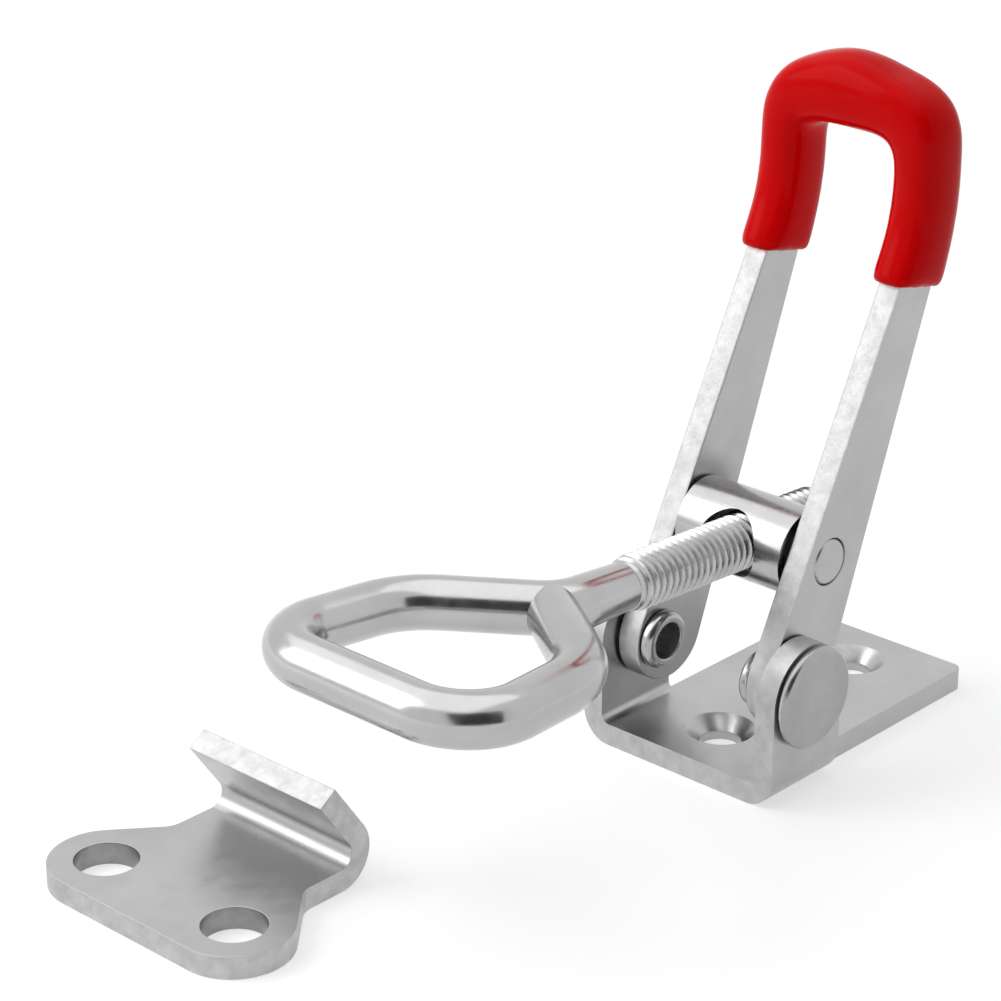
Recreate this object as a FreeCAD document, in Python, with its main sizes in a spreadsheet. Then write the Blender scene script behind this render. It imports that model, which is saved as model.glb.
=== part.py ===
# Over centre toggle latch: a folded base with a cranked lever, a barrel nut that swings between
# the lever's arms, a screwed bail and the hooked catch plate that the bail pulls on.
# Millimetres and degrees. +X points from the base to the catch plate, +Z up from the mounting
# face. The origin is midway between the base's two screw holes, on its underside.
import FreeCAD, Part
import math
import os
import Sketcher
from FreeCAD import Placement, Rotation, Vector

# Each driving size: its name, its value and what it measures.
SIZES = [
    ("base_sheet", 2.5, "thickness of the base's sheet"),
    ("plate_width", 20.8, "width of the base plate behind the ears"),
    ("ear_span", 25.8, "width over the outside of the two ears"),
    ("hole_pitch", 23.0, "distance between the base's screw holes"),
    ("rear_margin", 6.9, "base plate behind its rear hole"),
    ("pivot_ahead", 13.4, "pivot ahead of the middle of the screw holes"),
    ("pivot_height", 11.6, "pivot above the mounting face"),
    ("ear_radius", 5.6, "rounded top of an ear, about the pivot"),
    ("fold_radius", 3.5, "outside of the fold below an ear"),
    ("plate_corner", 1.0, "rounding of the base plate's rear corners"),
    ("screw_hole", 4.6, "hole for the base's screws"),
    ("screw_sink", 7.6, "countersink of the base's screws"),
    ("rivet_shank", 5.0, "rivet through the ear and the arm"),
    ("rivet_head", 11.2, "width of the rivet's head"),
    ("head_height", 1.3, "height of the rivet's head"),
    ("head_edge", 0.4, "chamfered rim of the rivet's head"),
    ("roll_width", 6.4, "width of the rivet's rolled end"),
    ("roll_height", 1.3, "how far the rolled end stands off the arm"),
    ("roll_edge", 0.45, "chamfer of the rolled end"),
    ("rivet_bore", 3.3, "hole in the rivet's tail"),
    ("bore_depth", 4.2, "depth of the hole in the rivet's tail"),
    ("side_play", 0.3, "gap between an ear and the arm inside it"),
    ("roll_play", 0.1, "gap between the rolled end and the arm"),
    ("running_play", 0.05, "gap round a pin that turns"),
    ("arm_sheet", 2.8, "thickness of the lever's strip"),
    ("arm_toe", 6.8, "front corner of an arm's lower end, ahead of the pivot"),
    ("arm_heel", 5.6, "rear corner of an arm's lower end, behind the pivot"),
    ("arm_drop", 5.4, "lower end of an arm below the pivot"),
    ("arm_round", 5.2, "rounding of an arm's lower end"),
    ("trunnion_reach", 13.7, "pivot to the barrel nut's axis"),
    ("trunnion_lean", 28.8, "lean of the line from pivot to nut, from upright"),
    ("grip_back", 22.3, "middle of the gripped strip behind the pivot"),
    ("grip_strip", 5.2, "width of the gripped strip"),
    ("crank_height", 45.5, "where the arms turn upright, above the pivot"),
    ("crank_radius", 20.0, "radius of that turn"),
    ("lever_height", 58.4, "top of the lever's strip above the pivot"),
    ("lever_bend", 3.0, "inside of the bends at the top of the lever"),
    ("coat", 1.4, "thickness of the dipped grip on the arms"),
    ("bar_coat", 2.1, "thickness of the dipped grip on the bar, where it runs together"),
    ("rim_front", 5.7, "front of the grip's lower rim below the crank"),
    ("rim_rear", 7.5, "rear of the grip's lower rim below the crank"),
    ("coat_edge", 1.5, "how far the grip's edges are cut back"),
    ("nut_width", 9.5, "diameter of the barrel nut"),
    ("nut_play", 0.4, "gap between the barrel nut's end and the arm"),
    ("entry_width", 7.4, "widened mouth of the nut's cross hole"),
    ("entry_root", 2.0, "start of that mouth from the nut's axis"),
    ("pin_width", 5.0, "diameter of a trunnion pin"),
    ("pin_root", 3.8, "inner end of a trunnion pin from the middle"),
    ("pin_chamfer", 0.25, "chamfer at the outer end of a trunnion pin"),
    ("thread_width", 6.0, "outside of the bail's thread"),
    ("thread_tail", 10.5, "thread behind the nut's axis"),
    ("thread_front", 19.6, "thread ahead of the nut's axis"),
    ("thread_chamfer", 0.6, "chamfer at the ends of the thread"),
    ("bail_rise", 3.5, "rise of the bail from level, as it lies in the photograph"),
    ("wire_width", 5.6, "diameter of the bail's wire"),
    ("shank_reach", 30.5, "nut's axis to the bend into the loop"),
    ("shank_bend", 6.0, "radius of that bend"),
    ("loop_start", 32.0, "nut's axis to the point where the wire's end meets the shank"),
    ("flank_reach", 40.8, "nut's axis to the loop's rear corners"),
    ("flank_half", 12.3, "half the loop's width there"),
    ("flank_bend", 10.0, "bend at the rear corners"),
    ("bar_reach", 58.6, "nut's axis to the cross bar"),
    ("bar_half", 14.1, "half the loop's width at the cross bar"),
    ("bar_bend", 6.5, "bend at the cross bar's ends"),
    ("catch_ahead", 74.8, "catch plate's screw holes ahead of the origin"),
    ("catch_aside", 17.6, "catch plate's middle beside the latch's middle"),
    ("catch_sheet", 2.5, "thickness of the catch plate"),
    ("catch_hole", 6.6, "catch plate's screw hole"),
    ("catch_pitch", 18.6, "distance between the catch plate's holes"),
    ("catch_ear", 6.0, "rounded ears about those holes"),
    ("lip_width", 19.0, "width of the catch plate's lip"),
    ("neck_ahead", 9.0, "holes to the neck"),
    ("neck_round", 2.5, "rounding of the neck"),
    ("hook_ahead", 14.2, "holes to the middle of the hook's bend"),
    ("hook_bend", 1.5, "inside of the hook's bend"),
    ("hook_turn", 125.0, "how far the hook turns back"),
    ("lip_reach", 6.7, "straight part of the lip, from the bend to its end"),
]


class Size:
    """A size as a number, for drawing, and as the text that ties it to the sheet."""

    def __init__(self, text, number):
        self.text = text
        self.number = number

    def joined(self, other, sign, number):
        return Size(f"({self.text} {sign} {size(other).text})", number)

    def __add__(self, other):
        return self.joined(other, "+", self.number + size(other).number)

    def __sub__(self, other):
        return self.joined(other, "-", self.number - size(other).number)

    def __mul__(self, other):
        return self.joined(other, "*", self.number * size(other).number)

    def __truediv__(self, other):
        return self.joined(other, "/", self.number / size(other).number)

    def __neg__(self):
        return size(0) - self


def size(value):
    """A plain number as a size; a size stays as it is."""
    return value if isinstance(value, Size) else Size(repr(value), value)


def sine(angle):
    return Size(f"sin({angle.text})", math.sin(math.radians(angle.number)))


def cosine(angle):
    return Size(f"cos({angle.text})", math.cos(math.radians(angle.number)))


def tangent(angle):
    return Size(f"tan({angle.text})", math.tan(math.radians(angle.number)))


def slope(run, rise):
    """The angle from upright of a line that runs and rises by these lengths."""
    ratio = run / rise
    return Size(f"(atan({ratio.text}) / 1deg)", math.degrees(math.atan(ratio.number)))


class Sheet:
    """The sheet of sizes, which gives each size by its name."""

    def __init__(self, document):
        self.cells = document.addObject("Spreadsheet::Sheet", "Sizes")
        for row, (name, value, meaning) in enumerate(SIZES, start=1):
            self.cells.set(f"A{row}", name)
            self.cells.set(f"B{row}", str(value))
            self.cells.set(f"C{row}", meaning)
            self.cells.setAlias(f"B{row}", name)
            setattr(self, name, Size(f"Sizes.{name}", value))


doc = FreeCAD.newDocument("toggle_latch")
s = Sheet(doc)
doc.recompute()

# How close two lengths lie that are one, and a sketch's own names for its points.
TOUCH = 1e-4
ORIGIN = (-1, 1)
START, END, CENTRE = range(1, 4)


def new_body(name):
    body = doc.addObject("PartDesign::Body", name)
    body.Label = name
    return body


def place(item, ahead=size(0), aside=size(0), up=size(0)):
    """Tie an object's place to the sheet, keeping the turn that it has."""
    for axis, length in (("x", ahead), ("y", aside), ("z", up)):
        item.setExpression(f"Placement.Base.{axis}", length.text)


def new_sketch(body, plane, name, offset=None):
    """A sketch on one of the body's own planes, moved along its normal by offset."""
    sketch = body.newObject("Sketcher::SketchObject", name)
    face = next(item for item in body.Origin.OriginFeatures if item.Role == plane)
    sketch.AttachmentSupport = [(face, "")]
    sketch.MapMode = "FlatFace"
    if offset is not None:
        sketch.setExpression("AttachmentOffset.Base.z", offset.text)
    return sketch


def dimension(sketch, kind, where, length):
    """Add a dimension whose value comes from the sheet."""
    index = sketch.addConstraint(Sketcher.Constraint(kind, *where, length.number))
    sketch.setExpression(f"Constraints[{index}]", length.text)


def pin_point(sketch, element, point, across, up):
    """Fix a point of a sketch at a distance from the sketch's origin."""
    dimension(sketch, "DistanceX", (*ORIGIN, element, point), across)
    dimension(sketch, "DistanceY", (*ORIGIN, element, point), up)


def spot(corner):
    return Vector(corner[0].number, corner[1].number, 0)


def rounding(before, corner, after, radius):
    """The two tangent points and the centre of an arc that rounds a corner."""
    back = (before - corner).normalize()
    ahead = (after - corner).normalize()
    half = back.getAngle(ahead) / 2
    reach = radius / math.tan(half)
    middle = (back + ahead).normalize() * (radius / math.sin(half))
    return corner + back * reach, corner + ahead * reach, corner + middle


def draw(sketch, corners, closed=True):
    """Lines through corners, each (across, up) or (across, up, radius) where it is rounded."""
    spots = [spot(corner) for corner in corners]
    count = len(corners)
    enters, leaves, arcs = list(spots), list(spots), {}
    for index, corner in enumerate(corners):
        if len(corner) == 3:
            near, far = spots[index - 1], spots[(index + 1) % count]
            enters[index], leaves[index], centre = rounding(near, spots[index], far, corner[2].number)
            from_centre = [point - centre for point in (enters[index], leaves[index])]
            angles = [math.atan2(arm.y, arm.x) for arm in from_centre]
            left_turn = from_centre[0].cross(from_centre[1]).z > 0
            circle = Part.Circle(centre, Vector(0, 0, 1), corner[2].number)
            if not left_turn:
                angles.reverse()
            arc = sketch.addGeometry(Part.ArcOfCircle(circle, *angles), False)
            arcs[index] = (arc, (START, END) if left_turn else (END, START))
    sides = count if closed else count - 1
    lines = []
    for index in range(sides):
        line = Part.LineSegment(leaves[index], enters[(index + 1) % count])
        lines.append(sketch.addGeometry(line, False))
    for index, corner in enumerate(corners):
        before = lines[index - 1] if closed or index > 0 else None
        after = lines[index] if index < sides else None
        if index in arcs:
            arc, (first, last) = arcs[index]
            sketch.addConstraint(Sketcher.Constraint("Tangent", before, END, arc, first))
            sketch.addConstraint(Sketcher.Constraint("Tangent", arc, last, after, START))
            dimension(sketch, "Radius", (arc,), corner[2])
            point = sketch.addGeometry(Part.Point(spots[index]), True)
            pin_point(sketch, point, START, corner[0], corner[1])
            sketch.addConstraint(Sketcher.Constraint("PointOnObject", point, START, before))
            sketch.addConstraint(Sketcher.Constraint("PointOnObject", point, START, after))
        elif after is None:
            pin_point(sketch, before, END, corner[0], corner[1])
        else:
            pin_point(sketch, after, START, corner[0], corner[1])
            if before is not None:
                sketch.addConstraint(Sketcher.Constraint("Coincident", before, END, after, START))


def ring(sketch, across, up, width):
    """A circle of this width."""
    centre = Vector(across.number, up.number, 0)
    circle = sketch.addGeometry(Part.Circle(centre, Vector(0, 0, 1), width.number / 2), False)
    pin_point(sketch, circle, CENTRE, across, up)
    dimension(sketch, "Diameter", (circle,), width)


def pad(body, sketch, length, name, symmetric=True):
    feature = body.newObject("PartDesign::Pad", name)
    feature.Profile = sketch
    feature.SideType = "Symmetric" if symmetric else "One side"
    feature.setExpression("Length", length.text)
    doc.recompute()


def cut_through(body, sketch, name):
    """Cut a sketch's outline through the whole body, both ways, and see that it took metal."""
    before = body.Shape.Volume
    feature = body.newObject("PartDesign::Pocket", name)
    feature.Profile = sketch
    feature.SideType = "Symmetric"
    feature.Type = "ThroughAll"
    doc.recompute()
    check_cut(body, before, name)


def check_cut(body, before, name):
    if body.Shape.Volume >= before:
        raise RuntimeError(f"{name} cuts nothing")


def turn(body, kind, sketch, axis, name):
    """Revolve or groove a sketch's outline about one of the sketch's own axes."""
    feature = body.newObject(f"PartDesign::{kind}", name)
    feature.Profile = sketch
    feature.ReferenceAxis = (sketch, [axis])
    feature.Angle = 360
    before = body.Shape.Volume if kind == "Groove" else None
    doc.recompute()
    if kind == "Groove":
        check_cut(body, before, name)


def round_edges(body, chosen, radius, name, kind="Fillet"):
    """Round or chamfer the edges of the body for which chosen(edge) is true."""
    base = body.Tip
    names = [f"Edge{i}" for i, edge in enumerate(base.Shape.Edges, start=1) if chosen(edge)]
    if not names:
        raise RuntimeError(f"{name} finds no edge")
    feature = body.newObject(f"PartDesign::{kind}", name)
    feature.Base = (base, names)
    feature.setExpression("Radius" if kind == "Fillet" else "Size", radius.text)
    doc.recompute()


def sweep(body, path, section, name):
    feature = body.newObject("PartDesign::AdditivePipe", name)
    feature.Profile = section
    feature.Spine = path
    doc.recompute()


def near(value, length):
    return abs(value - length.number) < TOUCH


def along(edge, direction):
    """True for a straight edge that runs along a direction."""
    if not isinstance(edge.Curve, Part.Line):
        return False
    return edge.Curve.Direction.cross(direction).Length < TOUCH


ACROSS = Vector(0, 1, 0)
AHEAD = Vector(1, 0, 0)
UPWARD = Vector(0, 0, 1)

# Sizes that several pieces share, worked out from the sheet.
zero = size(0)
overrun = size(1)
half_span = s.ear_span / 2
arm_face = half_span - s.base_sheet - s.side_play
arm_inside = arm_face - s.arm_sheet
ear_rear = s.pivot_ahead - s.ear_radius
ear_top = s.pivot_height + s.ear_radius
plate_rear = -(s.hole_pitch / 2 + s.rear_margin)
trunnion_back = s.trunnion_reach * sine(s.trunnion_lean)
trunnion_up = s.trunnion_reach * cosine(s.trunnion_lean)
running_hole = s.rivet_shank + s.running_play * 2
pin_hole = s.pin_width + s.running_play * 2


def base_bracket():
    """The base: a plate with two countersunk holes and an ear folded up each side."""
    body = new_body("base_bracket")
    inside = half_span - s.base_sheet
    inner_fold = s.fold_radius - s.base_sheet
    channel = new_sketch(body, "YZ_Plane", "channel_section", s.pivot_ahead)
    draw(channel, [
        (-half_span, zero, s.fold_radius), (half_span, zero, s.fold_radius),
        (half_span, ear_top), (inside, ear_top),
        (inside, s.base_sheet, inner_fold), (-inside, s.base_sheet, inner_fold),
        (-inside, ear_top), (-half_span, ear_top),
    ])
    pad(body, channel, s.ear_radius * 2, "ears")
    plate = new_sketch(body, "XY_Plane", "plate_outline")
    half = s.plate_width / 2
    draw(plate, [
        (ear_rear, -half), (ear_rear, half),
        (plate_rear, half, s.plate_corner), (plate_rear, -half, s.plate_corner),
    ])
    pad(body, plate, s.base_sheet, "plate", symmetric=False)
    round_ear_tops(body)
    rivets = new_sketch(body, "XZ_Plane", "rivet_holes")
    ring(rivets, s.pivot_ahead, s.pivot_height, s.rivet_shank)
    cut_through(body, rivets, "rivet_bores")
    for end, ahead in (("front", s.hole_pitch / 2), ("rear", -(s.hole_pitch / 2))):
        screw_hole(body, end, ahead)
    return body


def round_ear_tops(body):
    """Cut the ears' tops to a half circle about the pivot."""
    sketch = new_sketch(body, "XZ_Plane", "ear_tops")
    radius = s.ear_radius
    middle = Vector(s.pivot_ahead.number, s.pivot_height.number, 0)
    left, right = middle.x - radius.number, middle.x + radius.number
    level, over = middle.y, (ear_top + overrun).number
    arc = sketch.addGeometry(Part.ArcOfCircle(Part.Circle(middle, UPWARD, radius.number), 0, math.pi))
    corners = [Vector(left, level, 0), Vector(left, over, 0), Vector(right, over, 0), Vector(right, level, 0)]
    lines = [sketch.addGeometry(Part.LineSegment(a, b)) for a, b in zip(corners, corners[1:])]
    chain = [(arc, END), (lines[0], START), (lines[0], END), (lines[1], START),
             (lines[1], END), (lines[2], START), (lines[2], END), (arc, START)]
    for first, second in zip(chain[::2], chain[1::2]):
        sketch.addConstraint(Sketcher.Constraint("Coincident", *first, *second))
    for line in (lines[0], lines[2]):
        sketch.addConstraint(Sketcher.Constraint("Vertical", line))
    sketch.addConstraint(Sketcher.Constraint("Horizontal", lines[1]))
    for end in (START, END):
        sketch.addConstraint(Sketcher.Constraint("Horizontal", arc, end, arc, CENTRE))
    pin_point(sketch, arc, CENTRE, s.pivot_ahead, s.pivot_height)
    dimension(sketch, "Radius", (arc,), radius)
    dimension(sketch, "DistanceY", (*ORIGIN, lines[1], START), ear_top + overrun)
    cut_through(body, sketch, "rounded_tops")


def screw_hole(body, end, ahead):
    """One countersunk screw hole, turned about its own upright line."""
    sketch = new_sketch(body, "XZ_Plane", f"{end}_hole_section")
    bore, sink = s.screw_hole / 2, s.screw_sink / 2
    below, above = -overrun, s.base_sheet + overrun
    draw(sketch, [
        (ahead, below), (ahead + bore, below), (ahead + bore, s.base_sheet - sink + bore),
        (ahead + sink, s.base_sheet), (ahead + sink, above), (ahead, above),
    ])
    low, high = (ahead, below), (ahead, above)
    axis = sketch.addGeometry(Part.LineSegment(spot(low), spot(high)), True)
    pin_point(sketch, axis, START, *low)
    pin_point(sketch, axis, END, *high)
    turn(body, "Groove", sketch, "Axis0", f"{end}_screw_hole")


def lever_side(clear, over_bar, low_front, low_rear, rounds):
    """The lever's outline from the side, grown by clear and over its bar, down to its low corners."""
    front = -(s.grip_back - s.grip_strip / 2)
    rear = -(s.grip_back + s.grip_strip / 2)
    height = s.crank_height + s.arm_drop
    front_lean = slope(s.arm_toe - front, height)
    rear_lean = slope(-s.arm_heel - rear, height)

    def edge(corner, lean, side, level):
        return corner - (level + s.arm_drop) * tangent(lean) + clear / cosine(lean) * side

    toe = (edge(s.arm_toe, front_lean, 1, low_front), low_front, *rounds)
    heel = (edge(-s.arm_heel, rear_lean, -1, low_rear), low_rear, *rounds)
    crest = s.lever_height + over_bar
    return [
        toe,
        (front + clear, s.crank_height + clear * tangent(front_lean / 2), s.crank_radius - clear),
        (front + clear, crest), (rear - clear, crest),
        (rear - clear, s.crank_height - clear * tangent(rear_lean / 2), s.crank_radius + clear),
        heel,
    ]


def bent_strip(body, clear, over_bar, low_front, low_rear, rounds):
    """A strip bent to a long staple: two cranked arms and the bar that joins them at the top."""
    side = new_sketch(body, "XZ_Plane", "side_outline")
    draw(side, lever_side(clear, over_bar, low_front, low_rear, rounds))
    outside = arm_face + clear
    pad(body, side, outside * 2, "strip_width")
    window = new_sketch(body, "YZ_Plane", "window_outline")
    inside = arm_inside - clear
    under = s.lever_height - s.arm_sheet - over_bar
    foot = -(s.arm_drop + s.arm_round)
    draw(window, [
        (-inside, foot), (inside, foot),
        (inside, under, s.lever_bend - clear), (-inside, under, s.lever_bend - clear),
    ])
    cut_through(body, window, "window")
    crest = s.lever_height + over_bar

    def top_corner(edge):
        middle = edge.CenterOfMass
        return along(edge, AHEAD) and near(middle.z, crest) and near(abs(middle.y), outside)

    round_edges(body, top_corner, s.lever_bend + s.arm_sheet + clear, "outer_bends")


def lever():
    """The lever's bent strip, with its pivot holes and the holes for the trunnion pins."""
    body = new_body("lever")
    bent_strip(body, zero, zero, -s.arm_drop, -s.arm_drop, (s.arm_round,))
    holes = new_sketch(body, "XZ_Plane", "arm_holes")
    ring(holes, zero, zero, running_hole)
    ring(holes, -trunnion_back, trunnion_up, pin_hole)
    cut_through(body, holes, "arm_bores")
    place(body, s.pivot_ahead, zero, s.pivot_height)
    return body


def grip(strip):
    """The dipped grip: a soft coat round the top of the lever's strip."""
    body = new_body("grip_coat")
    front, rear = s.crank_height - s.rim_front, s.crank_height - s.rim_rear
    bent_strip(body, s.coat, s.bar_coat, front, rear, ())

    def on_rim(edge):
        return edge.BoundBox.ZMax < max(front.number, rear.number) + TOUCH

    def long_edge(edge):
        return not on_rim(edge) and not along(edge, ACROSS)

    round_edges(body, long_edge, s.coat_edge, "soft_edges", kind="Chamfer")
    place(body, s.pivot_ahead, zero, s.pivot_height)
    coat = doc.addObject("Part::Cut", "grip")
    coat.Label = "grip"
    coat.Base = body
    coat.Tool = strip
    doc.recompute()
    return coat


def barrel_nut():
    """The round nut that swings between the arms, with a cross hole for the bail's thread."""
    body = new_body("barrel_nut")
    half_length = arm_inside - s.nut_play
    blank = new_sketch(body, "XZ_Plane", "nut_round")
    ring(blank, zero, zero, s.nut_width)
    pad(body, blank, half_length * 2, "nut_blank")
    bore = new_sketch(body, "YZ_Plane", "thread_round")
    ring(bore, zero, zero, s.thread_width + s.running_play * 2)
    cut_through(body, bore, "thread_hole")
    mouths = new_sketch(body, "XY_Plane", "mouth_sections")
    bore_half = s.thread_width / 2 + s.running_play
    entry_half = s.entry_width / 2
    throat = s.entry_root + entry_half - bore_half
    outside = s.nut_width / 2 + overrun
    for side in (1, -1):
        draw(mouths, [
            (s.entry_root * side, zero), (outside * side, zero), (outside * side, entry_half),
            (throat * side, entry_half), (s.entry_root * side, bore_half),
        ])
    turn(body, "Groove", mouths, "H_Axis", "widened_mouths")
    sockets = new_sketch(body, "XY_Plane", "socket_sections")
    root = s.pin_root - s.roll_play
    mouth = half_length + overrun
    for side in (1, -1):
        draw(sockets, [
            (zero, root * side), (pin_hole / 2, root * side),
            (pin_hole / 2, mouth * side), (zero, mouth * side),
        ])
    turn(body, "Groove", sockets, "V_Axis", "pin_sockets")
    seat_on_trunnion(body)
    return body


def seat_on_trunnion(body):
    """Turn a body up by the bail's rise and put its origin on the nut's axis."""
    body.Placement = Placement(Vector(), Rotation(-ACROSS, s.bail_rise.number))
    body.setExpression("Placement.Rotation.Angle", s.bail_rise.text)
    place(body, s.pivot_ahead - trunnion_back, zero, s.pivot_height + trunnion_up)


def trunnion_pin(side, name):
    """A pin from an arm's outer face into the barrel nut's end."""
    body = new_body(f"trunnion_pin_{name}")
    section = new_sketch(body, "XY_Plane", "pin_section")
    half, cut = s.pin_width / 2, s.pin_chamfer
    inner, outer = s.pin_root * side, arm_face * side
    draw(section, [
        (zero, inner), (half, inner), (half, outer - cut * side), (half - cut, outer), (zero, outer),
    ])
    turn(body, "Revolution", section, "V_Axis", "turned_pin")
    place(body, s.pivot_ahead - trunnion_back, zero, s.pivot_height + trunnion_up)
    return body


def pivot_rivet(side, name):
    """A rivet with a broad head outside the ear and a rolled hollow end inside the arm."""
    body = new_body(f"pivot_rivet_{name}")
    section = new_sketch(body, "XY_Plane", "rivet_section")
    head, crown = s.rivet_head / 2, half_span + s.head_height
    shank, roll, bore = s.rivet_shank / 2, s.roll_width / 2, s.rivet_bore / 2
    seat = arm_inside - s.roll_play
    tail = seat - s.roll_height
    draw(section, [(across, up * side) for across, up in [
        (zero, crown), (head - s.head_edge, crown), (head, crown - s.head_edge), (head, half_span),
        (shank, half_span), (shank, seat), (roll, seat), (roll, tail + s.roll_edge), (roll - s.roll_edge, tail),
        (bore, tail), (bore, tail + s.bore_depth), (zero, tail + s.bore_depth),
    ]])
    turn(body, "Revolution", section, "V_Axis", "turned_rivet")
    place(body, s.pivot_ahead, zero, s.pivot_height)
    return body


def bail():
    """The bail: a threaded shank whose wire is bent round a loop and welded back to itself."""
    body = new_body("bail")
    section = new_sketch(body, "XY_Plane", "thread_section")
    half, cut = s.thread_width / 2, s.thread_chamfer
    draw(section, [
        (-s.thread_tail, zero), (s.thread_front, zero), (s.thread_front, half - cut),
        (s.thread_front - cut, half), (cut - s.thread_tail, half), (-s.thread_tail, half - cut),
    ])
    turn(body, "Revolution", section, "H_Axis", "threaded_end")
    wire_start = s.thread_front - cut
    path = new_sketch(body, "XY_Plane", "wire_path")
    draw(path, [
        (wire_start, zero), (s.shank_reach, zero, s.shank_bend),
        (s.flank_reach, -s.flank_half, s.flank_bend), (s.bar_reach, -s.bar_half, s.bar_bend),
        (s.bar_reach, zero),
    ], closed=False)
    wire = new_sketch(body, "YZ_Plane", "wire_round", wire_start)
    ring(wire, zero, zero, s.wire_width)
    sweep(body, path, wire, "first_half")
    back = new_sketch(body, "XY_Plane", "returning_path")
    draw(back, [
        (s.bar_reach, zero), (s.bar_reach, s.bar_half, s.bar_bend),
        (s.flank_reach, s.flank_half, s.flank_bend), (s.loop_start, zero),
    ], closed=False)
    bar = new_sketch(body, "XZ_Plane", "bar_round")
    ring(bar, s.bar_reach, zero, s.wire_width)
    sweep(body, back, bar, "second_half")
    seat_on_trunnion(body)
    return body


def catch_plate():
    """The catch plate: two round ears, a neck and a lip bent back over into a hook."""
    body = new_body("catch_plate")
    side = new_sketch(body, "XZ_Plane", "hook_section")
    hook_outline(side)
    half = s.catch_pitch / 2 + s.catch_ear
    pad(body, side, half * 2, "hooked_strip")
    plan = new_sketch(body, "XY_Plane", "plan_outline")
    lip = s.lip_width / 2
    ear = lip + (s.neck_ahead + s.catch_ear) * tangent(neck_slope(lip))
    tip = -(s.hook_ahead + s.hook_bend + s.catch_sheet + overrun)
    wide, front, rear = ear + overrun, tip - overrun, s.catch_ear + overrun
    draw(plan, [(front, -wide), (rear, -wide), (rear, wide), (front, wide)])
    draw(plan, [
        (s.catch_ear, -ear, s.catch_ear), (s.catch_ear, ear, s.catch_ear),
        (-s.neck_ahead, lip, s.neck_round), (tip, lip), (tip, -lip), (-s.neck_ahead, -lip, s.neck_round),
    ])
    cut_through(body, plan, "trimmed_outline")
    holes = new_sketch(body, "XY_Plane", "catch_holes")
    for hole_side in (1, -1):
        ring(holes, zero, s.catch_pitch / 2 * hole_side, s.catch_hole)
    cut_through(body, holes, "catch_bores")
    place(body, s.catch_ahead, -s.catch_aside, zero)
    return body


def neck_slope(lip):
    """The slope of the line from the neck's corner that just touches the ear's circle."""
    up = s.catch_pitch / 2 - lip
    reach = Size(f"sqrt({s.neck_ahead.text}^2 + {up.text}^2)", math.hypot(s.neck_ahead.number, up.number))
    ratio = s.catch_ear / reach
    spread = Size(f"(asin({ratio.text}) / 1deg)", math.degrees(math.asin(ratio.number)))
    return spread + slope(up, s.neck_ahead)


def hook_outline(sketch):
    """The catch plate from the side: its flat, the bend and the straight lip that leans back over it."""
    inner = s.hook_bend
    outer = s.hook_bend + s.catch_sheet
    half_turn = tangent(s.hook_turn / 2)
    lip_ahead, lip_up = s.lip_reach * cosine(s.hook_turn), s.lip_reach * sine(s.hook_turn)

    def tip(radius):
        across = -s.hook_ahead - radius * sine(s.hook_turn) - lip_ahead
        return across, outer - radius * cosine(s.hook_turn) + lip_up

    draw(sketch, [
        (s.catch_ear, zero), (s.catch_ear, s.catch_sheet),
        (-s.hook_ahead - inner * half_turn, s.catch_sheet, inner), tip(inner), tip(outer),
        (-s.hook_ahead - outer * half_turn, zero, outer),
    ])


def build():
    strip = lever()
    pieces = [base_bracket(), strip, grip(strip), barrel_nut(), bail(), catch_plate()]
    for side, name in ((1, "right"), (-1, "left")):
        pieces.append(trunnion_pin(side, name))
        pieces.append(pivot_rivet(side, name))
    return pieces


def check_document():
    for item in doc.Objects:
        if "Invalid" in item.State or "Error" in item.State:
            raise RuntimeError(f"{item.Name} is {item.State}")


def export(pieces):
    os.makedirs("parts", exist_ok=True)
    for piece in pieces:
        shape = piece.Shape
        if shape.isNull() or not shape.isValid() or len(shape.Solids) != 1:
            raise RuntimeError(f"{piece.Label} isn't one valid solid")
        shape.exportStep(f"parts/{piece.Label}.step")


pieces = build()
doc.recompute()
check_document()
export(pieces)
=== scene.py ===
import bmesh
import bpy
import math
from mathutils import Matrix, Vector
from mathutils.bvhtree import BVHTree


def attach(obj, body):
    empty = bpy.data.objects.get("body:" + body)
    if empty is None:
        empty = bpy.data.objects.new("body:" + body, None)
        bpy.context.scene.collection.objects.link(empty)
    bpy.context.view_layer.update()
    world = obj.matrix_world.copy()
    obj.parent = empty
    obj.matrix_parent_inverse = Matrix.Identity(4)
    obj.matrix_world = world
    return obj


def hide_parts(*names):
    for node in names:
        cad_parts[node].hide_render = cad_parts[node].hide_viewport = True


# Looks of the over centre toggle latch, in metres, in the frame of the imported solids.
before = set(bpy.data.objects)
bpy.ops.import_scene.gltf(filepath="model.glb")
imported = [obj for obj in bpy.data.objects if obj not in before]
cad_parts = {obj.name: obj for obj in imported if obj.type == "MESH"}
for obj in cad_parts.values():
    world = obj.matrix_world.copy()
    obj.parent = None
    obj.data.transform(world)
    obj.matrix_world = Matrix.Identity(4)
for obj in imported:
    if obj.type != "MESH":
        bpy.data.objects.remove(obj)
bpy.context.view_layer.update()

MM = 0.001

# Axes of the latch: the rivets turn in the ears, the pins of the nut in the arms.
PIVOT = Vector((13.4, 0, 11.6)) * MM
TRUNNION = Vector((6.8, 0, 23.605)) * MM
BAIL_RISE = math.radians(3.5)

# Places on the base bracket, in millimetres: clear above its plate, and at the plate's two ends.
ABOVE_PLATE = 3.2
PLATE_END = 17.0

# Places on the catch plate, in millimetres: its two holes and what lies within their walls, where
# the flat plate begins, clear above the plate, and the height past which only the lip's end lies.
CATCH_HOLES = ((74.8, -8.3), (74.8, -26.9))
HOLE_WALL = 3.5
FLAT_FROM = 63.0
ABOVE_CATCH = 2.6
LIP_END = 10.0

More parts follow.
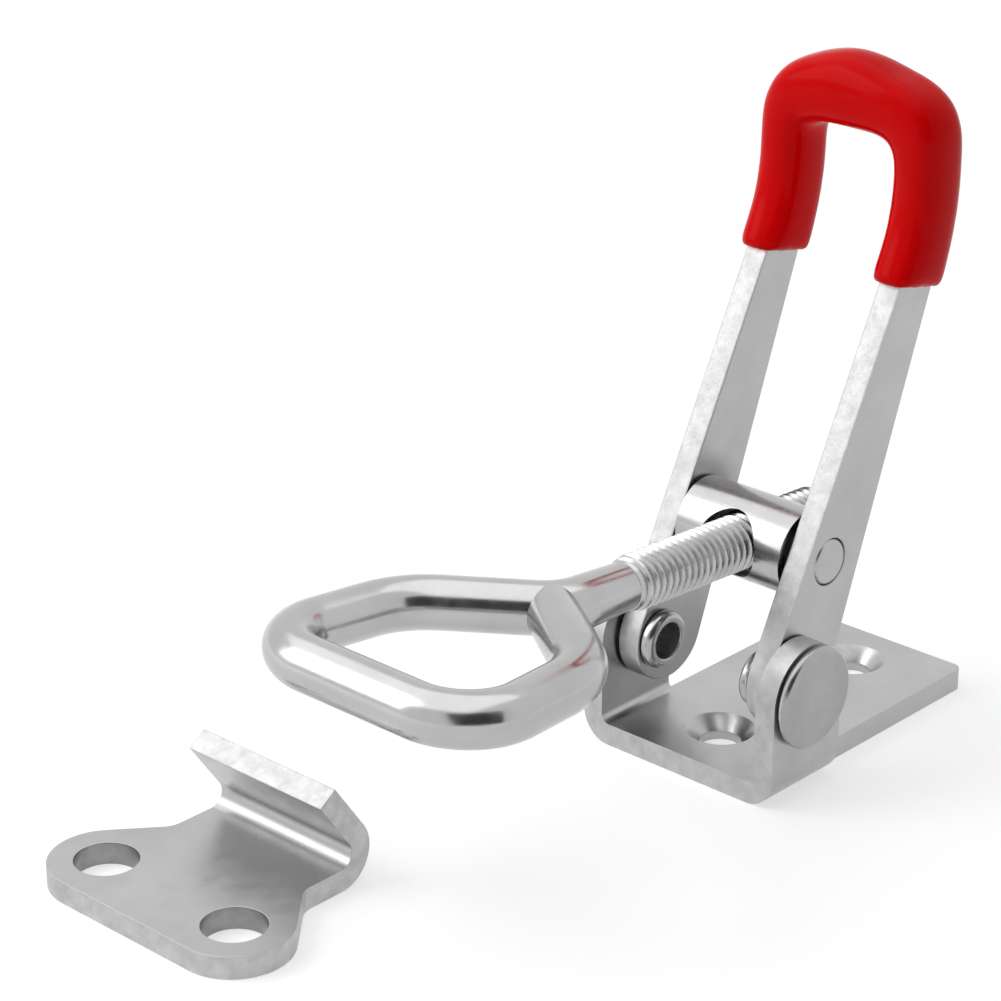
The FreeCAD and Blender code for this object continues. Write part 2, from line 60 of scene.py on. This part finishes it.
# Places on a rivet, in millimetres. Across, from the pivot's axis: its bore, the bore once opened,
# and the rim of its head. Along, from the middle of the latch: the seat of its head, past its bore,
# and inside the arm.
BORE_WALL = (1.0, 2.0)
OPENED_BORE = 2.1
HEAD_RIM = 5.4
HEAD_SEAT = 12.9
PAST_BORE = 11.0
INSIDE_ARM = 7.3

# The bail's wire, in millimetres: half its thickness, and its corners, each given as its distance
# ahead of the nut and aside, and the radius of its bend. It ends inside the shank, at the weld.
WIRE_HALF = 2.8
SHANK_START = 21.0
WIRE_CORNERS = (
    (SHANK_START, 0, 0), (30.5, 0, 6.0), (40.8, -12.3, 10.0), (58.6, -14.1, 6.5),
    (58.6, 14.1, 6.5), (40.8, 12.3, 10.0), (31.0, -1.4, 0),
)
SLIM_SHANK = 0.9


# Working by hand: what is selected is what the next operator changes.
def nothing_selected():
    if bpy.context.mode != "OBJECT":
        bpy.ops.object.mode_set(mode="OBJECT")
    bpy.ops.object.select_all(action="DESELECT")


def only(piece):
    nothing_selected()
    piece.select_set(True)
    bpy.context.view_layer.objects.active = piece


def edit(piece, kind="VERT"):
    only(piece)
    bpy.ops.object.mode_set(mode="EDIT")
    bpy.ops.mesh.select_mode(type=kind)
    bpy.ops.mesh.select_all(action="DESELECT")
    return bmesh.from_edit_mesh(piece.data)


def pick_edges(piece, chosen):
    """Open a piece in edit mode, with the edges selected whose two ends are chosen(spot)."""
    mesh = edit(piece, "EDGE")
    for edge in mesh.edges:
        if all(chosen(corner.co / MM) for corner in edge.verts):
            edge.select_set(True)
    bmesh.update_edit_mesh(piece.data)


def object_mode():
    bpy.ops.object.mode_set(mode="OBJECT")


def named(name):
    piece = bpy.context.active_object
    piece.name = piece.data.name = name
    return piece


def apply_modifier(piece, kind, **settings):
    only(piece)
    modifier = piece.modifiers.new(kind.lower(), kind)
    for key, value in settings.items():
        setattr(modifier, key, value)
    bpy.ops.object.modifier_apply(modifier=modifier.name)


def settle(piece):
    """Put a piece's place and turn into its mesh."""
    only(piece)
    bpy.ops.object.transform_apply(location=True, rotation=True, scale=True)


def smooth(piece, degrees):
    only(piece)
    bpy.ops.object.shade_smooth_by_angle(angle=math.radians(degrees))


def flat_faces_flat(piece, degrees=32):
    """Smooth a piece so that its worked edges take the whole turn and its flat faces stay flat."""
    smooth(piece, degrees)
    apply_modifier(piece, "WEIGHTED_NORMAL", mode="FACE_AREA", weight=100, keep_sharp=True)


def outward(piece):
    edit(piece)
    bpy.ops.mesh.select_all(action="SELECT")
    bpy.ops.mesh.remove_doubles(threshold=1e-7)
    bpy.ops.mesh.normals_make_consistent(inside=False)
    object_mode()


def copy_of(node, name):
    """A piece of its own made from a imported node, with its loose triangles joined."""
    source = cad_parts[node]
    piece = bpy.data.objects.new(name, source.data.copy())
    bpy.context.scene.collection.objects.link(piece)
    edit(piece)
    bpy.ops.mesh.select_all(action="SELECT")
    bpy.ops.mesh.remove_doubles(threshold=2e-6)
    bpy.ops.mesh.dissolve_limited(angle_limit=math.radians(0.3))
    object_mode()
    return piece


def worked_edges(piece, width, segments=2):
    """Break the sharp edges of a piece, as tumbling and plating do."""
    apply_modifier(
        piece, "BEVEL", width=width * MM, segments=segments, limit_method="ANGLE",
        angle_limit=math.radians(30), use_clamp_overlap=True, harden_normals=False,
    )


def hand_in(piece, body, node):
    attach(piece, body)
    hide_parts(node)


def outline(name, points):
    """A chain of edges through points, each (along X, out in Y), in millimetres."""
    nothing_selected()
    bpy.ops.mesh.primitive_plane_add(size=MM)
    piece = named(name)
    edit(piece)
    bpy.ops.mesh.select_all(action="SELECT")
    bpy.ops.mesh.merge(type="CENTER")
    first = Vector((*points[0], 0)) * MM
    bpy.ops.transform.translate(value=first)
    for before, after in zip(points, points[1:]):
        step = (Vector((*after, 0)) - Vector((*before, 0))) * MM
        bpy.ops.mesh.extrude_vertices_move(TRANSFORM_OT_translate={"value": step})
    object_mode()
    return piece


def spun_along_x(piece, steps, **winding):
    """Spin an outline round X, straight round for a lathe or with an offset for a thread."""
    apply_modifier(
        piece, "SCREW", axis="X", steps=steps, render_steps=steps, use_merge_vertices=True,
        merge_threshold=1e-6, use_smooth_shade=False, **winding,
    )


# Materials.
def new_material(name):
    material = bpy.data.materials.new(name)
    material.use_nodes = True
    tree = material.node_tree
    tree.nodes.clear()
    end = tree.nodes.new("ShaderNodeOutputMaterial")
    shader = tree.nodes.new("ShaderNodeBsdfPrincipled")
    tree.links.new(shader.outputs["BSDF"], end.inputs["Surface"])
    place = tree.nodes.new("ShaderNodeTexCoord")
    return material, tree, shader, place.outputs["Object"]


def mapped(tree, source, scale):
    node = tree.nodes.new("ShaderNodeMapping")
    node.inputs["Scale"].default_value = scale
    tree.links.new(source, node.inputs["Vector"])
    return node.outputs["Vector"]


def noise(tree, source, scale, detail, rough=0.55):
    node = tree.nodes.new("ShaderNodeTexNoise")
    node.inputs["Scale"].default_value = scale
    node.inputs["Detail"].default_value = detail
    node.inputs["Roughness"].default_value = rough
    tree.links.new(source, node.inputs["Vector"])
    return node.outputs["Fac"]


def spread(tree, value, low_in, high_in, low_out, high_out):
    """Carry a value from one range over to another."""
    node = tree.nodes.new("ShaderNodeMapRange")
    node.inputs["From Min"].default_value = low_in
    node.inputs["From Max"].default_value = high_in
    node.inputs["To Min"].default_value = low_out
    node.inputs["To Max"].default_value = high_out
    tree.links.new(value, node.inputs["Value"])
    return node.outputs["Result"]


def shades(tree, value, dark, light):
    node = tree.nodes.new("ShaderNodeValToRGB")
    node.color_ramp.elements[0].position = 0.3
    node.color_ramp.elements[0].color = (*dark, 1)
    node.color_ramp.elements[1].position = 0.7
    node.color_ramp.elements[1].color = (*light, 1)
    tree.links.new(value, node.inputs["Fac"])
    return node.outputs["Color"]


def bump(tree, shader, height, distance, strength, below=None):
    node = tree.nodes.new("ShaderNodeBump")
    node.inputs["Strength"].default_value = strength
    node.inputs["Distance"].default_value = distance
    tree.links.new(height, node.inputs["Height"])
    if below is not None:
        tree.links.new(below, node.inputs["Normal"])
    tree.links.new(node.outputs["Normal"], shader.inputs["Normal"])
    return node.outputs["Normal"]


def metal(name, dark, light, rough, cloud=90, grain=(1, 1, 1), grain_depth=4e-6, pit_depth=0.0):
    """Plated steel: a tone clouded from dark to light, uneven gloss, fine grain and small pits."""
    material, tree, shader, place = new_material(name)
    shader.inputs["Metallic"].default_value = 1.0
    clouds = noise(tree, place, cloud, detail=5)
    tone = shades(tree, clouds, (dark, dark, dark), (light, light, light))
    tree.links.new(tone, shader.inputs["Base Color"])
    patches = noise(tree, place, cloud * 5, detail=4)
    gloss = spread(tree, patches, 0.3, 0.7, rough - 0.05, rough + 0.06)
    tree.links.new(gloss, shader.inputs["Roughness"])
    fine = noise(tree, mapped(tree, place, grain), scale=2600, detail=4)
    grained = bump(tree, shader, fine, grain_depth, strength=0.6)
    if pit_depth:
        pits = noise(tree, place, scale=900, detail=5, rough=0.7)
        pitted = spread(tree, pits, 0.42, 0.62, 0, 1)
        bump(tree, shader, pitted, pit_depth, strength=0.8, below=grained)
    return material


plated_sheet = metal("plated_sheet", 0.42, 0.49, 0.32, grain=(0.25, 1, 1))
sheared_edge = metal("sheared_edge", 0.43, 0.55, 0.46, cloud=700, pit_depth=1.2e-5)
# Painted shade: a darker steel for the walls of the catch plate's screw holes, where shade falls
# inside.
bore_wall_shade = metal("bore_wall_shade", 0.27, 0.35, 0.34, cloud=500)
turned_steel = metal("turned_steel", 0.40, 0.47, 0.23, cloud=160, grain=(1, 0.2, 1))
rivet_steel = metal("rivet_steel", 0.33, 0.40, 0.26, cloud=160)
bright_wire = metal("bright_wire", 0.43, 0.49, 0.20, cloud=120, grain_depth=2e-6)
thread_steel = metal("thread_steel", 0.42, 0.54, 0.24, cloud=500)


def dipped_plastic():
    """Soft plastic, dipped: a red that varies a little, over shallow ripples."""
    material, tree, shader, place = new_material("dipped_grip")
    clouds = noise(tree, place, scale=120, detail=3)
    red = shades(tree, clouds, (0.88, 0.001, 0.002), (0.96, 0.002, 0.004))
    tree.links.new(red, shader.inputs["Base Color"])
    ripples = noise(tree, place, scale=260, detail=2)
    gloss = spread(tree, ripples, 0.3, 0.7, 0.12, 0.18)
    tree.links.new(gloss, shader.inputs["Roughness"])
    shader.inputs["Specular IOR Level"].default_value = 0.05
    bump(tree, shader, ripples, distance=4e-5, strength=0.5)
    return material


dipped_grip = dipped_plastic()


def finish_with(piece, *materials):
    piece.data.materials.clear()
    for material in materials:
        piece.data.materials.append(material)


# The stamped pieces: base, lever and catch plate.
def upright(face):
    return abs(face.normal.z) < 0.1


def stamped(node, name, body, width, sheared):
    """A stamped piece: satin on its faces, brighter where sheared(face) finds a cut edge, and
    darker on its bore walls, as painted shade.
    """
    piece = copy_of(node, name)
    finish_with(piece, plated_sheet, sheared_edge, bore_wall_shade)
    for face in piece.data.polygons:
        # Bore walls take the darker steel (painted shade), cut edges the sheared steel, the rest
        # the plated sheet.
        face.material_index = 2 if catch_bore(face) else 1 if sheared(face) else 0
    worked_edges(piece, width)
    flat_faces_flat(piece)
    hand_in(piece, body, node)


def base_edge(face):
    """The sheared front and rear of the folded base, and the edges of its ears."""
    spot = face.center / MM
    return abs(face.normal.y) < 0.5 and (spot.z > ABOVE_PLATE or abs(spot.x) > PLATE_END)


def lever_edge(face):
    """The sheared front and rear edges of the lever's arms. Its bar lies under the grip."""
    return abs(face.normal.y) < 0.5


def catch_bore(face):
    """The walls of the catch plate's two screw holes, which get a darker steel as painted shade."""
    spot = face.center / MM
    return upright(face) and any(
        math.hypot(spot.x - ahead, spot.y - aside) < HOLE_WALL for ahead, aside in CATCH_HOLES)


def catch_edge(face):
    """The sheared outline of the catch plate, and the end of its lip."""
    spot = face.center / MM
    side = abs(face.normal.y) > 0.9
    lip_end = spot.z > LIP_END and face.normal.z > 0.7
    plate_wall = upright(face) and spot.x > FLAT_FROM and spot.z < ABOVE_CATCH
    return side or lip_end or plate_wall


stamped("base_bracket", "folded_base", "base", width=0.22, sheared=base_edge)
stamped("lever", "cranked_lever", "lever", width=0.28, sheared=lever_edge)
stamped("catch_plate", "hooked_catch", "base", width=0.25, sheared=catch_edge)


# The turned pieces: nut, pins and rivets.
def turned(node, name, body, material, width, segments=3):
    piece = copy_of(node, name)
    finish_with(piece, material)
    worked_edges(piece, width, segments)
    flat_faces_flat(piece, degrees=40)
    hand_in(piece, body, node)


def from_pivot(spot):
    """How far a spot, in millimetres, lies from the pivot's axis."""
    return math.hypot(spot.x - PIVOT.x / MM, spot.z - PIVOT.z / MM)


def in_bore(spot):
    return BORE_WALL[0] < from_pivot(spot) < BORE_WALL[1]


def on_head_seat(spot):
    return from_pivot(spot) > HEAD_RIM and abs(abs(spot.y) - HEAD_SEAT) < 0.05


def flat_rivet(side):
    """A rivet: its bore is opened by the roll of its tail, and its head is undercut at the ear."""
    opening, undercut = 1.24, 0.5
    piece = copy_of(f"pivot_rivet_{side}", f"flat_rivet_{side}")
    finish_with(piece, rivet_steel, turned_steel, sheared_edge)
    pick_edges(piece, in_bore)
    bpy.ops.transform.resize(value=(opening, 1, opening), center_override=PIVOT)
    object_mode()
    pick_edges(piece, on_head_seat)
    bpy.ops.mesh.bevel(offset=undercut * MM, segments=1, affect="EDGES")
    object_mode()
    worked_edges(piece, width=0.24, segments=4)
    for face in piece.data.polygons:
        spot = face.center / MM
        if abs(spot.y) < INSIDE_ARM:
            face.material_index = 1
        if from_pivot(spot) < OPENED_BORE and abs(spot.y) < PAST_BORE:
            face.material_index = 2
    flat_faces_flat(piece, degrees=40)
    hand_in(piece, "base", f"pivot_rivet_{side}")


turned("barrel_nut", "cross_nut", "nut", turned_steel, width=0.18)
for side in ("left", "right"):
    turned(
        f"trunnion_pin_{side}", f"nut_pin_{side}", "pins", plated_sheet, width=0.06, segments=2)
    flat_rivet(side)


# The bail: a thread, and a wire drawn round the loop.
def seat_on_nut(piece):
    """Turn a piece up by the bail's rise and put it on the nut's axis."""
    settle(piece)
    piece.rotation_euler = (0, -BAIL_RISE, 0)
    piece.location = TRUNNION
    settle(piece)


def draw_wire(step):
    bpy.ops.mesh.extrude_region_move(TRANSFORM_OT_translate={"value": step * MM})


def wire_along(name, corners):
    """A wire through corners (ahead, aside, bend), drawn straight and spun round each bend."""
    sides, fewest_steps, steps_per_radian = 36, 4, 16
    spots = [Vector((ahead, aside, 0)) for ahead, aside, _ in corners]
    start = (spots[1] - spots[0]).normalized()
    nothing_selected()
    bpy.ops.mesh.primitive_circle_add(vertices=sides, radius=WIRE_HALF * MM)
    piece = named(name)
    piece.rotation_euler = (math.pi / 2, 0, math.atan2(start.y, start.x) + math.pi / 2)
    settle(piece)
    edit(piece)
    bpy.ops.mesh.select_all(action="SELECT")
    bpy.ops.transform.translate(value=spots[0] * MM)
    bpy.ops.mesh.edge_face_add()
    here = spots[0]
    for index in range(1, len(corners) - 1):
        after, bend = spots[index], corners[index][2]
        ahead = (after - here).normalized()
        leaving = (spots[index + 1] - after).normalized()
        turn = math.atan2(ahead.cross(leaving).z, ahead.dot(leaving))
        reach = bend * math.tan(abs(turn) / 2)
        tangent = after - ahead * reach
        draw_wire(tangent - here)
        side = Vector((-ahead.y, ahead.x, 0)) * (1 if turn > 0 else -1)
        centre = tangent + side * bend
        steps = max(fewest_steps, round(abs(turn) * steps_per_radian))
        bpy.ops.mesh.spin(
            steps=steps, angle=-turn, use_auto_merge=False, use_normal_flip=False,
            center=centre * MM, axis=(0, 0, 1),
        )
        here = after + leaving * reach
    draw_wire(spots[-1] - here)
    object_mode()
    outward(piece)
    return piece


def screw_thread():
    """The bail's thread: one turn's profile wound along the shank, then trimmed to run out."""
    pitch, root, crest = 1, 2.42, 3.0
    tail, front, run_out = -10.5, 21.4, 1.8
    chamfer, spare, last_turn = 0.6, 0.02, 0.14
    profile = [
        (-1, root), (-0.86, root), (-0.54, crest), (-0.42, crest), (-0.10, root), (0, root),
    ]
    piece = outline("bail_thread", [(tail + along, out) for along, out in profile])
    turns = math.ceil((front - tail) / pitch) + 2
    spun_along_x(piece, steps=36, screw_offset=pitch * MM, iterations=turns)
    edit(piece, "EDGE")
    bpy.ops.mesh.select_all(action="SELECT")
    bpy.ops.mesh.remove_doubles(threshold=1e-7)
    bpy.ops.mesh.select_all(action="DESELECT")
    bpy.ops.mesh.select_non_manifold(extend=False)
    bpy.ops.mesh.fill_holes(sides=0)
    bpy.ops.mesh.select_all(action="SELECT")
    bpy.ops.mesh.normals_make_consistent(inside=False)
    object_mode()
    blank = outline("bail_blank", [
        (tail, 0), (tail, crest - chamfer), (tail + chamfer, crest + spare),
        (front - run_out, crest + spare), (front, root + last_turn), (front, 0),
    ])
    spun_along_x(blank, steps=72)
    outward(blank)
    apply_modifier(piece, "BOOLEAN", operation="INTERSECT", object=blank, solver="EXACT")
    bpy.data.objects.remove(blank)
    return piece


def shaped_bail():
    thread = screw_thread()
    loop = wire_along("bail_wire", WIRE_CORNERS)
    pick_edges(loop, lambda spot: spot.x < SHANK_START + 0.1)
    bpy.ops.transform.resize(
        value=(1, SLIM_SHANK, SLIM_SHANK), center_override=Vector((SHANK_START, 0, 0)) * MM)
    object_mode()
    finish_with(loop, bright_wire)
    finish_with(thread, thread_steel)
    only(loop)
    thread.select_set(True)
    bpy.ops.object.join()
    loop.name = loop.data.name = "screwed_bail"
    seat_on_nut(loop)
    smooth(loop, degrees=40)
    hand_in(loop, "bail", "bail")


shaped_bail()


# The dipped grip.
def skin_only(piece, strip):
    """A vertex group of the coat's skin: its seat on the strip stays, and its rims stay flared."""
    inside = BVHTree.FromPolygons(
        [corner.co for corner in strip.data.vertices],
        [face.vertices for face in strip.data.polygons],
    )
    seat, fade = 0.4, 0.6
    rim_share, rim_fade = 0.35, 10
    group = piece.vertex_groups.new(name="skin")
    rim = min(vertex.co.z for vertex in piece.data.vertices)
    for vertex in piece.data.vertices:
        clear = inside.find_nearest(vertex.co)[3] / MM
        above = (vertex.co.z - rim) / MM
        weight = min(max((clear - seat) / fade, 0), 1) * min(rim_share + above / rim_fade, 1)
        group.add([vertex.index], weight, "REPLACE")
    return group.name


def pull(piece, at, by, reach):
    """Draw the skin near a point along with the hand, as soft clay is pulled."""
    place = Vector(at) * MM
    nearest = min(piece.data.vertices, key=lambda vertex: (vertex.co - place).length).index
    edit(piece)
    object_mode()
    piece.data.vertices[nearest].select = True
    bpy.ops.object.mode_set(mode="EDIT")
    bpy.ops.transform.translate(
        value=Vector(by) * MM, use_proportional_edit=True, proportional_edit_falloff="SMOOTH",
        proportional_size=reach * MM,
    )
    object_mode()


def soft_grip():
    """The dipped coat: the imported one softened, its bar raised at one end and drawn in beside."""
    piece = copy_of("grip", "dipped_coat")
    apply_modifier(piece, "REMESH", mode="VOXEL", voxel_size=0.40 * MM)
    skin = skin_only(piece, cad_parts["lever"])
    apply_modifier(piece, "SMOOTH", factor=0.5, iterations=110, vertex_group=skin)
    pull(piece, at=(-9.0, -1.0, 72.0), by=(0, 0, 0.9), reach=6.5)
    pull(piece, at=(-9.0, 7.0, 71.0), by=(0, 0, -0.6), reach=6.0)
    piece.vertex_groups.clear()
    apply_modifier(piece, "SMOOTH", factor=0.5, iterations=5)
    finish_with(piece, dipped_grip)
    only(piece)
    bpy.ops.object.shade_smooth()
    hand_in(piece, "lever", "grip")


soft_grip()


# The floor, the light and the camera.
def shown_white(tree):
    """One where the camera, gloss or glass sees a surface, nought where it lights another."""
    path = tree.nodes.new("ShaderNodeLightPath")
    seen = tree.nodes.new("ShaderNodeMath")
    seen.operation = "MAXIMUM"
    tree.links.new(path.outputs["Is Camera Ray"], seen.inputs[0])
    tree.links.new(path.outputs["Is Glossy Ray"], seen.inputs[1])
    also = tree.nodes.new("ShaderNodeMath")
    also.operation = "MAXIMUM"
    tree.links.new(seen.outputs[0], also.inputs[0])
    tree.links.new(path.outputs["Is Transmission Ray"], also.inputs[1])
    return also.outputs[0]


def white_floor():
    """A matt floor that takes the shadow, and is seen brighter the further it is from the latch."""
    near, far = 0.15, 0.9
    glow_near, glow_far = 0.50, 0.95
    nothing_selected()
    bpy.ops.mesh.primitive_plane_add(size=6, location=(0, 0, 0))
    floor = named("floor")
    settle(floor)
    material = bpy.data.materials.new("white_floor")
    material.use_nodes = True
    tree = material.node_tree
    tree.nodes.clear()
    end = tree.nodes.new("ShaderNodeOutputMaterial")
    matt = tree.nodes.new("ShaderNodeBsdfDiffuse")
    matt.inputs["Color"].default_value = (0.9, 0.9, 0.9, 1)
    glow = tree.nodes.new("ShaderNodeEmission")
    place = tree.nodes.new("ShaderNodeTexCoord")
    away = tree.nodes.new("ShaderNodeVectorMath")
    away.operation = "LENGTH"
    tree.links.new(place.outputs["Object"], away.inputs[0])
    own = tree.nodes.new("ShaderNodeMath")
    own.operation = "MULTIPLY"
    tree.links.new(shown_white(tree), own.inputs[0])
    brighter = spread(tree, away.outputs["Value"], near, far, glow_near, glow_far)
    tree.links.new(brighter, own.inputs[1])
    tree.links.new(own.outputs[0], glow.inputs["Strength"])
    both = tree.nodes.new("ShaderNodeAddShader")
    tree.links.new(matt.outputs[0], both.inputs[0])
    tree.links.new(glow.outputs[0], both.inputs[1])
    tree.links.new(both.outputs[0], end.inputs["Surface"])
    finish_with(floor, material)


def pale_world():
    """A room that is seen as white and lights the latch faintly."""
    lit, seen = 0.20, 1.0
    world = bpy.data.worlds.new("studio")
    bpy.context.scene.world = world
    world.use_nodes = True
    tree = world.node_tree
    tree.nodes.clear()
    end = tree.nodes.new("ShaderNodeOutputWorld")
    back = tree.nodes.new("ShaderNodeBackground")
    back.inputs["Color"].default_value = (1, 1, 1, 1)
    tree.links.new(spread(tree, shown_white(tree), 0, 1, lit, seen), back.inputs["Strength"])
    tree.links.new(back.outputs[0], end.inputs["Surface"])


def lamp(name, aim, away, width, height, watts):
    """A soft box that faces aim from the direction away."""
    data = bpy.data.lights.new(name, "AREA")
    data.shape = "RECTANGLE"
    data.size, data.size_y = width, height
    data.energy = watts
    light = bpy.data.objects.new(name, data)
    bpy.context.scene.collection.objects.link(light)
    light.location = aim + Vector(away)
    light.rotation_euler = (-Vector(away)).to_track_quat("-Z", "Y").to_euler()


def dark_card(name, aim, away, width, height):
    """A dark card for polished metal to mirror. It hides nothing and shades nothing."""
    nothing_selected()
    bpy.ops.mesh.primitive_plane_add(size=1)
    card = named(name)
    card.scale = (width, height, 1)
    card.location = aim + Vector(away)
    card.rotation_euler = (-Vector(away)).to_track_quat("Z", "Y").to_euler()
    settle(card)
    material = bpy.data.materials.new(name)
    material.use_nodes = True
    shader = material.node_tree.nodes["Principled BSDF"]
    shader.inputs["Base Color"].default_value = (0.12, 0.12, 0.12, 1)
    shader.inputs["Specular IOR Level"].default_value = 0.0
    finish_with(card, material)
    for ray in ("camera", "diffuse", "transmission", "shadow", "volume_scatter"):
        setattr(card, f"visible_{ray}", False)


def view_from_photograph():
    """The camera of the photograph, found from the outlines of the base and the lever."""
    azimuth, elevation = math.radians(132.784), math.radians(23.271)
    aim, distance = Vector((46.28, 0, 40.08)) * MM, 0.3069
    back = Vector((
        math.sin(azimuth) * math.cos(elevation),
        -math.cos(azimuth) * math.cos(elevation),
        math.sin(elevation),
    ))
    data = bpy.data.cameras.new("camera")
    data.sensor_fit = "HORIZONTAL"
    data.sensor_width = 36
    data.lens = 115.65
    data.clip_start, data.clip_end = 0.01, 20
    camera = bpy.data.objects.new("camera", data)
    bpy.context.scene.collection.objects.link(camera)
    camera.location = aim + back * distance
    camera.rotation_mode = "QUATERNION"
    camera.rotation_quaternion = (-back).to_track_quat("-Z", "Y")
    bpy.context.scene.camera = camera


white_floor()
pale_world()
middle = Vector((0.035, 0, 0.03))
lamp("front_box", middle, away=(0.35, -0.37, 0.34), width=0.34, height=0.50, watts=1.0)
lamp("top_box", middle, away=(0.05, -0.15, 0.75), width=1.2, height=1.2, watts=3.2)
dark_card("photographer", middle, away=(0.27, 0.46, 0.27), width=0.66, height=0.50)
view_from_photograph()

bpy.context.scene.view_settings.view_transform = "Standard"

bpy.context.view_layer.update()
